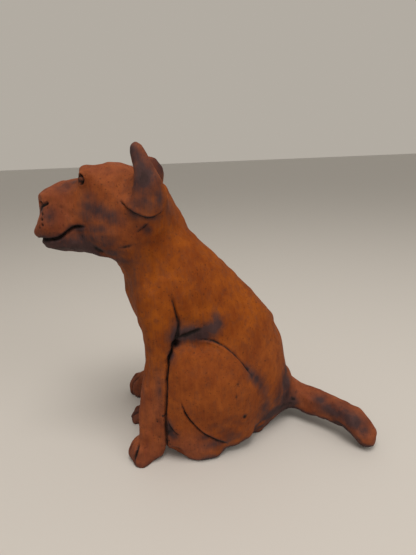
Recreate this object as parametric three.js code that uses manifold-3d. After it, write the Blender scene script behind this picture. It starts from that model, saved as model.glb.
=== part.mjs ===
// A sitting dog, hand-modelled in terracotta and fired as one piece.
// Millimetres, +Z up. The dog faces -Y, its left side is +X, and it stands on Z = 0.
// Places are measured from the middle between the front paws, and the finished mesh is then
// moved so that the origin lies under the middle of the whole dog.
import * as THREE from 'three';
import { mergeVertices } from 'three/addons/utils/BufferGeometryUtils.js';
import Module from 'manifold-3d';

const wasm = await Module();
wasm.setup();

// Driving dimensions
const CHEST_HALF_WIDTH = 45;
const HIP_HALF_WIDTH = 49;
const LEG_SPREAD = 32;
const LEG_RADIUS = 12;
const RIGHT_LEG_BACK = 13;
const HAUNCH_CENTRE_X = 35;
const RIGHT_EAR_BACK = 5;
const RIGHT_EAR_SHORT = 4;
const HEAD_YAW = -11;
const HEAD_ROLL = -4;
const HEAD_PIVOT = [0, 18, 235];
const HEAD_MIDDLE = [0, -20, 245];
const HEAD_REACH = 75;
const GROOVE_RADIUS = 3;
const NOSTRIL_RADIUS = 2.2;
const EYE_RADIUS = 4;

const LEFT_PAW_HEIGHT = 25;
const RIGHT_PAW_HEIGHT = 11;
const HIND_PAW_HEIGHT = 28;
const TOE_GAP = 8.5;

// How softly two lumps of clay run into each other
const PRESSED = 2;
const PUSHED_ON = 4;
const SMOOTHED = 8;
const MODELLED = 16;

// Beyond this a lump's distance may be a rough one, and the clay ends this far under the table
const FAR = 24;
const BELOW_TABLE = -4;

// The grid that the skin is found on, and how many triangles it is thinned to
const GRID = 2.5;
const BLOCK = 4;
const TRIANGLES = 9000;
const HOLD = 0.002;
const LEAST_TURN = 0.2;
const TOUCH_GAP = 0.1;
const SKIN_MISS = 0.01;
const TINY = 1e-9;
const TABLE = [400, 500, 40];
const TABLE_MIDDLE = [0, 80, -20];
const LOW = [-108, -92, -12];
const HIGH = [96, 244, 304];

// Every lump below is a function of a point that gives the distance to its skin, negative inside.

const lerp = (from, to, share) => from + (to - from) * share;

// Far from a lump, the distance to a ball around it is near enough
function bounded(centre, reach, lump) {
  return (x, y, z) => {
    const gap = Math.sqrt((x - centre[0]) ** 2 + (y - centre[1]) ** 2 + (z - centre[2]) ** 2) - reach;
    return gap > FAR ? gap : lump(x, y, z);
  };
}

// An egg of clay, leaned about X by a number of degrees
function egg(at, radii, lean = 0) {
  const cos = Math.cos(THREE.MathUtils.degToRad(lean));
  const sin = Math.sin(THREE.MathUtils.degToRad(lean));
  return bounded(at, Math.max(...radii), (x, y, z) => {
    const dx = x - at[0];
    const dy = y - at[1];
    const dz = z - at[2];
    const across = (cos * dy + sin * dz) / radii[1];
    const up = (cos * dz - sin * dy) / radii[2];
    const reach = Math.sqrt((dx / radii[0]) ** 2 + across * across + up * up) + TINY;
    return Math.sqrt(dx * dx + dy * dy + dz * dz) * (1 - 1 / reach);
  });
}

// A roll of clay through a few stations, each with its half width along X and its half depth
function roll(stations, steps = 4) {
  const through = (places) => new THREE.CatmullRomCurve3(places, false, 'catmullrom');
  const line = through(stations.map((s) => new THREE.Vector3(...s.at)));
  const girth = through(stations.map((s) => new THREE.Vector3(s.wide, s.deep ?? s.wide, 0)));
  const count = (stations.length - 1) * steps;
  const at = line.getPoints(count);
  const size = girth.getPoints(count);
  const ball = new THREE.Sphere().setFromPoints(at);
  const widest = Math.max(...size.map((s) => Math.max(s.x, s.y)));
  return bounded(ball.center.toArray(), ball.radius + widest, (x, y, z) => {
    let nearest = Infinity;
    for (let i = 0; i < count; i += 1) {
      const a = at[i];
      const b = at[i + 1];
      const runX = b.x - a.x;
      const runY = b.y - a.y;
      const runZ = b.z - a.z;
      const dot = (x - a.x) * runX + (y - a.y) * runY + (z - a.z) * runZ;
      const share = Math.min(Math.max(dot / (runX * runX + runY * runY + runZ * runZ), 0), 1);
      const dx = x - a.x - runX * share;
      const dy = y - a.y - runY * share;
      const dz = z - a.z - runZ * share;
      const wide = lerp(size[i].x, size[i + 1].x, share);
      const deep = lerp(size[i].y, size[i + 1].y, share);
      const reach = Math.sqrt(dx * dx / (wide * wide) + (dy * dy + dz * dz) / (deep * deep)) + TINY;
      nearest = Math.min(nearest, Math.sqrt(dx * dx + dy * dy + dz * dz) * (1 - 1 / reach));
    }
    return nearest;
  });
}

// Two distances run together over a softness in millimetres
function soften(a, b, softness) {
  const near = Math.max(softness - Math.abs(a - b), 0) / softness;
  return Math.min(a, b) - near * near * softness / 4;
}

// Lumps pressed onto a first one, in order
function join(softness, first, ...lumps) {
  return (x, y, z) => {
    let skin = first(x, y, z);
    for (const lump of lumps) {
      skin = soften(skin, lump(x, y, z), softness);
    }
    return skin;
  };
}

// Tools pressed into a lump
function carve(softness, lump, ...tools) {
  return (x, y, z) => {
    let skin = lump(x, y, z);
    for (const tool of tools) {
      skin = -soften(-skin, tool(x, y, z), softness);
    }
    return skin;
  };
}

// The same lump on the other side, or on both
const onSide = (side, lump) => (x, y, z) => lump(side * x, y, z);
const onBothSides = (lump) => (x, y, z) => lump(Math.abs(x), y, z);

// The point of a lump's skin that is met on the way out from inside it
function onSkin(lump, inside, towards) {
  const way = new THREE.Vector3(...towards).normalize();
  let near = 0;
  let far = CHEST_HALF_WIDTH * 2;
  while (far - near > SKIN_MISS) {
    const middle = (near + far) / 2;
    if (lump(...way.toArray().map((step, axis) => inside[axis] + step * middle)) < 0) {
      near = middle;
    } else {
      far = middle;
    }
  }
  return [inside[0] + way.x * near, inside[1] + way.y * near, inside[2] + way.z * near];
}

// A groove drawn on the left side of the dog, through places given as [Y, Z]
function sideGroove(lump, places) {
  const touched = places.map(([y, z]) => onSkin(lump, [LEG_SPREAD, y, z], [1, 0, 0]));
  return roll(touched.map((at) => ({ at, wide: GROOVE_RADIUS })));
}

// The body, from the neck down to the seat
function trunk() {
  return roll([
    { at: [0, 20, 230], wide: 29, deep: 30.5 },
    { at: [0, 31, 201], wide: 32, deep: 32.8 },
    { at: [0, 43.5, 167], wide: 41, deep: 46 },
    { at: [0, 64, 132], wide: CHEST_HALF_WIDTH, deep: 53 },
    { at: [0, 86.5, 96], wide: HIP_HALF_WIDTH, deep: 61 },
    { at: [0, 98, 60], wide: HIP_HALF_WIDTH, deep: 60 },
    { at: [0, 100, 28], wide: 39, deep: 55 },
  ], 10);
}

function frontLeg(side, back) {
  const x = side * LEG_SPREAD;
  return roll([
    { at: [side * 26, 30 + back, 158], wide: 20, deep: 27 },
    { at: [side * 31, 24 + back, 124], wide: 15, deep: 16 },
    { at: [x, 17.5 + back, 94], wide: LEG_RADIUS, deep: 11.8 },
    { at: [x, 10 + back, 60], wide: LEG_RADIUS, deep: 11.5 },
    { at: [x, 8 + back, 32], wide: LEG_RADIUS, deep: 12 },
    { at: [x, 7 + back, 8], wide: LEG_RADIUS, deep: 12 },
  ]);
}

// A paw of three toes, its middle on the leg's axis; the outer toes lie a little further back
function paw(x, y, height) {
  const pad = egg([x, y, height * 0.36], [13, 14.5, height * 0.6]);
  const toes = [-1, 0, 1].map((side) => (
    egg([x + side * TOE_GAP, y - 10 + Math.abs(side) * 3, height * 0.32], [5.6, 8.5, height / 2])));
  return join(PRESSED, pad, ...toes);
}

function haunch() {
  const thigh = egg([HAUNCH_CENTRE_X, 71, 62], [27, 47, 59], 12);
  const rest = egg([37, 88, 23], [18, 23, 20]);
  return join(SMOOTHED, thigh, rest);
}

function tail() {
  return roll([
    { at: [0, 142, 34], wide: 26, deep: 25 },
    { at: [10, 165, 24.5], wide: 18, deep: 15.5 },
    { at: [32, 183, 23], wide: 15, deep: 14 },
    { at: [59, 200.5, 24], wide: 13.5, deep: 12 },
    { at: [73, 206.5, 19.5], wide: 12.5, deep: 12.5 },
    { at: [79.5, 209, 13], wide: 11, deep: 12.5 },
  ]);
}

// The left hind leg is folded: the thigh lies outside the shin, which runs down into a tucked foot
function foldedLeg() {
  const shin = roll([
    { at: [38, 40, 110], wide: 12, deep: 11 },
    { at: [39, 37, 92], wide: 15, deep: 14 },
    { at: [38.5, 36, 66], wide: 16, deep: 19 },
    { at: [38.5, 38, 41], wide: 15.5, deep: 22 },
    { at: [41, 50, 18], wide: 14, deep: 18 },
  ]);
  const foot = roll([
    { at: [31, 22, 26], wide: 10.5, deep: 12 },
    { at: [35.5, 44, 13], wide: 11.5, deep: 12.5 },
    { at: [43, 66, 10], wide: 13, deep: 13.5 },
  ]);
  const heel = egg([31, 23, 23], [9, 10, 13]);
  return join(PUSHED_ON, haunch(), join(MODELLED, shin, foot), heel);
}

// A crumb of clay that was left under the rump
function seatLump() {
  return egg([29, 117, 2], [6, 8, 4.5]);
}

// The right hind leg reaches forward and out to the side
function splayedLeg() {
  const shin = roll([
    { at: [-46, 52, 62], wide: 22, deep: 22 },
    { at: [-62, 34, 36], wide: 16, deep: 16 },
    { at: [-76, 20, 16], wide: 14, deep: 14 },
  ]);
  return join(SMOOTHED, shin, paw(-80.5, 11, HIND_PAW_HEIGHT));
}

// The head, before it is turned
function skull() {
  const dome = egg([0, 1, 245], [32, 35, 31]);
  const forehead = egg([0, -8, 258], [26, 20, 15]);
  const cheek = onBothSides(egg([17, -1, 224], [16, 28, 24], 10));
  const earRoot = onBothSides(egg([21, 26, 230], [18, 14, 20]));
  return join(SMOOTHED, dome, forehead, cheek, earRoot);
}

function muzzle() {
  const bridge = roll([
    { at: [0, -14, 240], wide: 24, deep: 24 },
    { at: [0, -40, 241], wide: 20, deep: 23 },
    { at: [0, -52, 241], wide: 17, deep: 16 },
  ]);
  const lips = onBothSides(egg([7, -53, 225], [14, 20, 12.5], 4));
  const nose = egg([0, -56.5, 248.5], [14, 11.5, 9.5]);
  return join(SMOOTHED, bridge, lips, nose);
}

function lowerJaw() {
  return roll([
    { at: [0, 2, 212], wide: 25, deep: 19.5 },
    { at: [0, -28, 211], wide: 20, deep: 12 },
    { at: [0, -60, 211.5], wide: 13.5, deep: 7 },
    { at: [0, -66, 212], wide: 9, deep: 4.5 },
  ]);
}

// The left ear; the right one stands a little further back and is shorter
function ear(back, short) {
  const cup = roll([
    { at: [32, 26 - back / 2, 245], wide: 12, deep: 18 - back / 2 },
    { at: [33, 26, 259], wide: 10.5, deep: 12.8 - back / 5 },
    { at: [33, 25 + back, 271 - short / 2], wide: 9, deep: 9.5 },
    { at: [32, 22.5 + back, 282 - short], wide: 7, deep: 6.8 },
  ]);
  const hollow = roll([
    { at: [33, 10, 250], wide: 8, deep: 8 },
    { at: [34, 15 + back, 264 - short / 2], wide: 6, deep: 7 },
    { at: [33, 14 + back, 278 - short], wide: 3.5, deep: 4 },
  ]);
  return carve(PRESSED, cup, hollow);
}

// The slit of the mouth, from its left corner to the front of the muzzle, widening on the way
function mouth(lump) {
  const places = [
    [[0, -26, 225], [1, 0, 0]],
    [[0, -37, 223], [1, 0, 0]],
    [[0, -46, 218], [1, 0, 0]],
    [[0, -50, 215], [1, -0.5, 0]],
    [[0, -50, 215], [0.5, -1, 0]],
    [[0, -50, 215], [0, -1, 0]],
  ];
  const widthAt = (n) => lerp(GROOVE_RADIUS / 2, GROOVE_RADIUS, n / (places.length - 1));
  const touched = places.map(([inside, towards]) => onSkin(lump, inside, towards));
  return roll(touched.map((at, n) => ({ at, wide: widthAt(n) })));
}

// A nostril is a slit that runs back from the front of the nose
function nostril(lump) {
  const places = [
    [[0, -50, 242], [0.35, -1, 0]],
    [[0, -50, 243.5], [0.8, -1, 0]],
    [[0, -50, 243], [1, -0.5, 0]],
  ];
  const touched = places.map(([inside, towards]) => onSkin(lump, inside, towards));
  return roll(touched.map((at) => ({ at, wide: NOSTRIL_RADIUS })));
}

// A socket under the brow, and the ball of the eye that fills it almost up to the skin
function eye(lump) {
  const rim = onSkin(lump, [0, -18, 264], [1, -0.3, 0]);
  const socket = egg(rim, [6, EYE_RADIUS + 1.5, EYE_RADIUS + 1.5]);
  const ball = egg([rim[0] - 3, rim[1] + 1, rim[2]], [5, EYE_RADIUS, EYE_RADIUS]);
  return { socket, ball };
}

function head() {
  const brow = onBothSides(egg([15, -20, 266], [12, 10, 8]));
  let lump = join(SMOOTHED, skull(), muzzle(), lowerJaw(), brow);
  const { socket, ball } = eye(lump);
  lump = carve(PRESSED, lump, onBothSides(mouth(lump)), onBothSides(nostril(lump)), onBothSides(socket));
  lump = join(PRESSED, lump, onBothSides(ball));
  return join(PUSHED_ON, lump, ear(0, 0), onSide(-1, ear(RIGHT_EAR_BACK, RIGHT_EAR_SHORT)));
}

function turnedHead() {
  const turn = new THREE.Matrix4().makeRotationFromEuler(new THREE.Euler(
    0, THREE.MathUtils.degToRad(HEAD_ROLL), THREE.MathUtils.degToRad(HEAD_YAW), 'ZYX'));
  const e = turn.elements;
  const lump = head();
  return bounded(HEAD_MIDDLE, HEAD_REACH, (x, y, z) => {
    const dx = x - HEAD_PIVOT[0];
    const dy = y - HEAD_PIVOT[1];
    const dz = z - HEAD_PIVOT[2];
    return lump(
      HEAD_PIVOT[0] + e[0] * dx + e[1] * dy + e[2] * dz,
      HEAD_PIVOT[1] + e[4] * dx + e[5] * dy + e[6] * dz,
      HEAD_PIVOT[2] + e[8] * dx + e[9] * dy + e[10] * dz);
  });
}

function dog() {
  const leftPaw = paw(LEG_SPREAD, 1.5, LEFT_PAW_HEIGHT);
  const rightPaw = paw(-LEG_SPREAD, 8, RIGHT_PAW_HEIGHT);
  let lump = join(MODELLED, trunk(), turnedHead(), tail());
  lump = join(SMOOTHED, lump, frontLeg(1, 0), frontLeg(-1, RIGHT_LEG_BACK));
  lump = join(PUSHED_ON, lump, leftPaw, rightPaw);
  lump = join(PRESSED, lump, foldedLeg(), splayedLeg(), onSide(-1, haunch()), seatLump());
  const thighTop = sideGroove(lump, [[34, 120], [48, 120], [62, 118], [73, 113]]);
  const elbow = sideGroove(lump, [[33, 164], [35, 152], [37, 138]]);
  const behindLeg = sideGroove(lump, [[34, 122], [27, 107], [24, 91], [21.5, 64], [20.5, 44], [20, 30]]);
  const armpit = egg([59, 54, 135], [15, 27, 8], 14);
  const hollowed = carve(SMOOTHED, lump, onBothSides(armpit));
  const grooved = carve(PRESSED, hollowed, ...[thighTop, elbow].map(onBothSides), behindLeg);
  return (x, y, z) => Math.max(grooved(x, y, z), BELOW_TABLE - z);
}

// The skin as a mesh: one vertex in every grid cell that it crosses, pulled onto the skin
function skinOf(lump) {
  const count = LOW.map((low, axis) => Math.ceil((HIGH[axis] - low) / GRID) + 1);
  const stride = [1, count[0], count[0] * count[1]];
  const value = new Float32Array(count[0] * count[1] * count[2]);
  const at = (i, j, k) => lump(LOW[0] + i * GRID, LOW[1] + j * GRID, LOW[2] + k * GRID);
  const middle = (BLOCK - 1) / 2;
  const clear = BLOCK * GRID * 2.5;
  for (let k = 0; k < count[2]; k += BLOCK) {
    for (let j = 0; j < count[1]; j += BLOCK) {
      for (let i = 0; i < count[0]; i += BLOCK) {
        const rough = at(i + middle, j + middle, k + middle);
        const near = Math.abs(rough) < clear;
        const end = [i, j, k].map((n, axis) => Math.min(n + BLOCK, count[axis]));
        for (let c = k; c < end[2]; c += 1) {
          for (let b = j; b < end[1]; b += 1) {
            for (let a = i; a < end[0]; a += 1) {
              value[a + b * stride[1] + c * stride[2]] = near ? at(a, b, c) : rough;
            }
          }
        }
      }
    }
  }
  const corner = [0, 1, 2, 3, 4, 5, 6, 7].map((c) => [c & 1, (c >> 1) & 1, (c >> 2) & 1]);
  const shift = corner.map((c) => c[0] + c[1] * stride[1] + c[2] * stride[2]);
  const edges = [1, 2, 4].flatMap((step) => (
    corner.map((c, n) => [n, n + step]).filter(([n]) => (n & step) === 0)));
  const points = [];
  const faces = [];
  const vertexOf = new Int32Array(value.length).fill(-1);
  for (let k = 0; k < count[2] - 1; k += 1) {
    for (let j = 0; j < count[1] - 1; j += 1) {
      for (let i = 0; i < count[0] - 1; i += 1) {
        const base = i + j * stride[1] + k * stride[2];
        const sum = [0, 0, 0];
        let crossings = 0;
        for (const [a, b] of edges) {
          const va = value[base + shift[a]];
          const vb = value[base + shift[b]];
          if (va < 0 !== vb < 0) {
            const share = va / (va - vb);
            for (let axis = 0; axis < 3; axis += 1) {
              sum[axis] += lerp(corner[a][axis], corner[b][axis], share);
            }
            crossings += 1;
          }
        }
        if (crossings > 0) {
          vertexOf[base] = points.length;
          points.push([i, j, k].map((n, axis) => LOW[axis] + (n + sum[axis] / crossings) * GRID));
        }
      }
    }
  }
  for (let k = 1; k < count[2] - 1; k += 1) {
    for (let j = 1; j < count[1] - 1; j += 1) {
      for (let i = 1; i < count[0] - 1; i += 1) {
        const base = i + j * stride[1] + k * stride[2];
        const inside = value[base] < 0;
        for (let axis = 0; axis < 3; axis += 1) {
          if (value[base + stride[axis]] < 0 !== inside) {
            const u = stride[(axis + 1) % 3];
            const v = stride[(axis + 2) % 3];
            const ring = [base, base - u, base - u - v, base - v].map((n) => vertexOf[n]);
            if (!inside) {
              ring.reverse();
            }
            faces.push([ring[0], ring[1], ring[2]], [ring[0], ring[2], ring[3]]);
          }
        }
      }
    }
  }
  return { points, faces };
}

// The squared distance to a set of planes is kept as the ten numbers of a symmetric 4 by 4 matrix
function addPlane(quadric, normal, offset, weight) {
  const row = [normal.x, normal.y, normal.z, offset];
  let n = 0;
  for (let i = 0; i < 4; i += 1) {
    for (let j = i; j < 4; j += 1) {
      quadric[n] += row[i] * row[j] * weight;
      n += 1;
    }
  }
}

function distanceTo(q, p) {
  return q[0] * p.x * p.x + q[4] * p.y * p.y + q[7] * p.z * p.z + q[9]
    + 2 * (q[1] * p.x * p.y + q[2] * p.x * p.z + q[5] * p.y * p.z + q[3] * p.x + q[6] * p.y + q[8] * p.z);
}

// A heap that always gives back its cheapest entry
class Heap {
  entries = [];

  push(entry) {
    const list = this.entries;
    let n = list.push(entry) - 1;
    while (n > 0 && list[(n - 1) >> 1].cost > entry.cost) {
      list[n] = list[(n - 1) >> 1];
      n = (n - 1) >> 1;
    }
    list[n] = entry;
  }

  pop() {
    const list = this.entries;
    const top = list[0];
    const last = list.pop();
    let n = 0;
    while (2 * n + 1 < list.length) {
      let child = 2 * n + 1;
      if (child + 1 < list.length && list[child + 1].cost < list[child].cost) {
        child += 1;
      }
      if (list[child].cost >= last.cost) {
        break;
      }
      list[n] = list[child];
      n = child;
    }
    if (list.length > 0) {
      list[n] = last;
    }
    return top;
  }
}

// Fewer triangles for the same shape: the edge whose loss moves the skin least goes first
function thinned(mesh, target) {
  const points = mesh.points.map((p) => new THREE.Vector3(...p));
  const faces = mesh.faces.map((f) => [...f]);
  const quadrics = points.map(() => new Float64Array(10));
  const around = points.map(() => new Set());
  const changes = new Int32Array(points.length);
  const triangle = new THREE.Triangle();
  const normal = new THREE.Vector3();
  const axes = [new THREE.Vector3(1, 0, 0), new THREE.Vector3(0, 1, 0), new THREE.Vector3(0, 0, 1)];
  faces.forEach((face, n) => {
    triangle.set(...face.map((v) => points[v]));
    const area = triangle.getArea();
    triangle.getNormal(normal);
    for (const v of face) {
      addPlane(quadrics[v], normal, -normal.dot(points[v]), area);
      axes.forEach((axis) => addPlane(quadrics[v], axis, -axis.dot(points[v]), area * HOLD));
      around[v].add(n);
    }
  });

  const heap = new Heap();
  const offer = (a, b) => {
    const q = quadrics[a].map((value, i) => value + quadrics[b][i]);
    const inverse = new THREE.Matrix3(q[0], q[1], q[2], q[1], q[4], q[5], q[2], q[5], q[7]).invert();
    const at = new THREE.Vector3(-q[3], -q[6], -q[8]).applyMatrix3(inverse);
    heap.push({ cost: distanceTo(q, at), a, b, at, q, when: changes[a] + changes[b] });
  };
  const neighbours = (v) => {
    const found = new Set();
    around[v].forEach((n) => faces[n].forEach((w) => found.add(w)));
    found.delete(v);
    return found;
  };
  const turnsOver = (v, other, at) => [...around[v]].some((n) => {
    if (faces[n].includes(other)) {
      return false;
    }
    triangle.set(...faces[n].map((w) => points[w]));
    const before = triangle.getNormal(new THREE.Vector3());
    triangle.set(...faces[n].map((w) => (w === v ? at : points[w])));
    return before.dot(triangle.getNormal(normal)) < LEAST_TURN;
  });

  faces.forEach((face) => face.forEach((a, i) => {
    const b = face[(i + 1) % 3];
    if (a < b) {
      offer(a, b);
    }
  }));
  let left = faces.length;
  while (left > target && heap.entries.length > 0) {
    const { a, b, at, q, when } = heap.pop();
    if (changes[a] < 0 || changes[b] < 0 || changes[a] + changes[b] !== when) {
      continue;
    }
    const nextToB = neighbours(b);
    const shared = [...neighbours(a)].filter((v) => nextToB.has(v));
    if (shared.length !== 2 || turnsOver(a, b, at) || turnsOver(b, a, at)) {
      continue;
    }
    points[a].copy(at);
    quadrics[a] = q;
    around[b].forEach((n) => {
      if (faces[n].includes(a)) {
        faces[n].forEach((v) => around[v].delete(n));
        faces[n] = null;
        left -= 1;
      } else {
        faces[n][faces[n].indexOf(b)] = a;
        around[a].add(n);
      }
    });
    changes[b] = -1;
    changes[a] += 1;
    neighbours(a).forEach((v) => {
      changes[v] += 1;
    });
    const ring = neighbours(a);
    ring.forEach((v) => offer(a, v));
    ring.forEach((v) => neighbours(v).forEach((w) => {
      if (w !== a && (v < w || !ring.has(w))) {
        offer(v, w);
      }
    }));
  }
  const kept = points.map((p, n) => n).filter((n) => changes[n] >= 0);
  const place = new Map(kept.map((n, i) => [n, i]));
  return {
    points: kept.map((n) => points[n].toArray()),
    faces: faces.filter((face) => face !== null).map((face) => face.map((v) => place.get(v))),
  };
}

// Where two folds of clay meet at a point, each draws back a hair into its own clay
function partFolds(geometry) {
  const { position, normal } = geometry.attributes;
  const key = (n) => [position.getX(n), position.getY(n), position.getZ(n)].join();
  const met = new Map();
  for (let n = 0; n < position.count; n += 1) {
    met.set(key(n), [...(met.get(key(n)) ?? []), n]);
  }
  for (const fold of [...met.values()].filter((together) => together.length > 1).flat()) {
    position.setXYZ(
      fold,
      position.getX(fold) - normal.getX(fold) * TOUCH_GAP,
      position.getY(fold) - normal.getY(fold) * TOUCH_GAP,
      position.getZ(fold) - normal.getZ(fold) * TOUCH_GAP);
  }
}

// The soles and the seat are flat, because the damp clay stood on a table
function standing(mesh) {
  const clay = new wasm.Manifold(new wasm.Mesh({
    numProp: 3,
    vertProperties: new Float32Array(mesh.points.flat()),
    triVerts: new Uint32Array(mesh.faces.flat()),
  }));
  const block = new THREE.BoxGeometry(...TABLE).translate(...TABLE_MIDDLE);
  block.deleteAttribute('normal');
  block.deleteAttribute('uv');
  const merged = mergeVertices(block);
  const table = new wasm.Manifold(new wasm.Mesh({
    numProp: 3,
    vertProperties: new Float32Array(merged.attributes.position.array),
    triVerts: new Uint32Array(merged.index.array),
  }));
  const { vertProperties, triVerts } = clay.subtract(table).getMesh();
  const geometry = new THREE.BufferGeometry();
  geometry.setAttribute('position', new THREE.BufferAttribute(vertProperties, 3));
  geometry.setIndex(new THREE.BufferAttribute(triVerts, 1));
  geometry.computeVertexNormals();
  partFolds(geometry);
  return geometry;
}

const terracotta = new THREE.MeshStandardMaterial({ color: 0x9c5230, roughness: 0.85, metalness: 0 });
const sculpture = new THREE.Mesh(standing(thinned(skinOf(dog()), TRIANGLES)), terracotta);
sculpture.name = 'dog';
sculpture.geometry.computeBoundingBox();
const middle = sculpture.geometry.boundingBox.getCenter(new THREE.Vector3());
sculpture.position.set(-middle.x, -middle.y, 0);

const group = new THREE.Group();
group.add(sculpture);
export default group;
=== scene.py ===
import math

import bmesh
import bpy
import numpy as np
from mathutils import Euler, Matrix, Vector, noise
from mathutils.bvhtree import BVHTree
from mathutils.kdtree import KDTree


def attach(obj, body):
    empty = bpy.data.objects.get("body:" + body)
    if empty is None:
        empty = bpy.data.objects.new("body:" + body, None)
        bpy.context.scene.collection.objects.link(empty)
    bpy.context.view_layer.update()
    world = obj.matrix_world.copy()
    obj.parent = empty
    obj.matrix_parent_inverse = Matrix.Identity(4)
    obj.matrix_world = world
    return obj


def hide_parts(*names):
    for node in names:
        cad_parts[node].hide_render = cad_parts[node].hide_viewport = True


# Every size is in millimetres until it goes into Blender, because clay is worked in millimetres
MM = 0.001
# The middle between the front paws, which the places on the body are measured from
PAWS = Vector((2.03, -74.36, 0.0))
# How the head is turned on the neck, as in the solid
HEAD_PIVOT = Vector((0.0, 18.0, 235.0))
HEAD_TURN = Euler((0.0, math.radians(-4), math.radians(-11)), "XYZ").to_matrix()


def body_place(place):
    """A place measured from between the paws, in the frame of the dog."""
    return Vector(place) + PAWS


def head_place(place):
    """The same for a place on the head, given as if the head looked straight ahead."""
    return HEAD_TURN @ (Vector(place) - HEAD_PIVOT) + HEAD_PIVOT + PAWS


def head_way(way):
    """A direction on the head, given in the same way."""
    return HEAD_TURN @ Vector(way)


def mirrored(place, side):
    """A place or a way on the left side (1), or its mirror image on the right (-1)."""
    return (side * place[0], place[1], place[2])


# The photograph's view: level with the head, from the dog's left, looking a little down
SENSOR = 36
FOCAL_LENGTH = 24.97
CAMERA_PLACE = Vector((349.4, -83.8, 278.5))
CAMERA_RIGHT = Vector((0.2528, 0.9669, -0.0362)).normalized()
CAMERA_AHEAD = Vector((-0.9257, 0.2308, -0.2996)).normalized()


def set_camera():
    data = bpy.data.cameras.new("camera")
    data.sensor_width = SENSOR
    data.lens = FOCAL_LENGTH
    camera = bpy.data.objects.new("camera", data)
    bpy.context.scene.collection.objects.link(camera)
    up = CAMERA_RIGHT.cross(CAMERA_AHEAD).normalized()
    turn = Matrix((CAMERA_RIGHT, up, -CAMERA_AHEAD)).transposed().to_4x4()
    camera.matrix_world = Matrix.Translation(CAMERA_PLACE * MM) @ turn
    bpy.context.scene.camera = camera


set_camera()
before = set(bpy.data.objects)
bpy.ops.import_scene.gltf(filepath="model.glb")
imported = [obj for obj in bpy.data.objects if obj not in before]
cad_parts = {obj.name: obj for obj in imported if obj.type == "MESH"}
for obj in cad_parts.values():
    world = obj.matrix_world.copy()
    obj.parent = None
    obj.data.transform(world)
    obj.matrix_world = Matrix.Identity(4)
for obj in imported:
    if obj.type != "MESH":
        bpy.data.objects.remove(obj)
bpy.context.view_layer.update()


# The clay skin

# The step of the skin's mesh, which is halved where there is fine work. It is as fine as it can be
# with the whole dog under 200,000 triangles
SKIN_STEP = 1.78
# Corners of the solid's loose triangles that are closer than this are one corner
WELD = 0.02
# How far smoothing moves a point towards its neighbours' middle, and then back out, so that the form
# doesn't shrink
SMOOTH_IN = 0.5
SMOOTH_OUT = 0.53
# The table keeps the clay flat up to the first of these heights, and it is free of it above the second
HELD_BELOW = 0.5
FREE_ABOVE = 5


def clay_skin(node):
    """A fine, even mesh over the form of the solid."""
    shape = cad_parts[node].data.copy()
    work = bmesh.new()
    work.from_mesh(shape)
    bmesh.ops.remove_doubles(work, verts=work.verts, dist=WELD * MM)
    work.to_mesh(shape)
    work.free()
    draft = bpy.data.objects.new("draft", shape)
    bpy.context.scene.collection.objects.link(draft)
    remesh = draft.modifiers.new("remesh", "REMESH")
    remesh.mode = "VOXEL"
    remesh.voxel_size = SKIN_STEP * MM
    remesh.use_smooth_shade = True
    seen = draft.evaluated_get(bpy.context.evaluated_depsgraph_get())
    mesh = bpy.data.meshes.new_from_object(seen)
    bpy.data.objects.remove(draft)
    bpy.data.meshes.remove(shape)
    mesh.materials.clear()
    return mesh


def refine(mesh, wanted):
    """Halves the mesh's step wherever wanted(place) says that finer clay work follows."""
    work = bmesh.new()
    work.from_mesh(mesh)
    near = {v for v in work.verts if wanted(v.co / MM)}
    edges = [e for e in work.edges if e.verts[0] in near and e.verts[1] in near]
    bmesh.ops.subdivide_edges(work, edges=edges, cuts=1, use_grid_fill=True)
    many_sided = [f for f in work.faces if len(f.verts) > 4]
    bmesh.ops.triangulate(work, faces=many_sided)
    for face in work.faces:
        face.smooth = True
    work.to_mesh(mesh)
    work.free()


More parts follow.
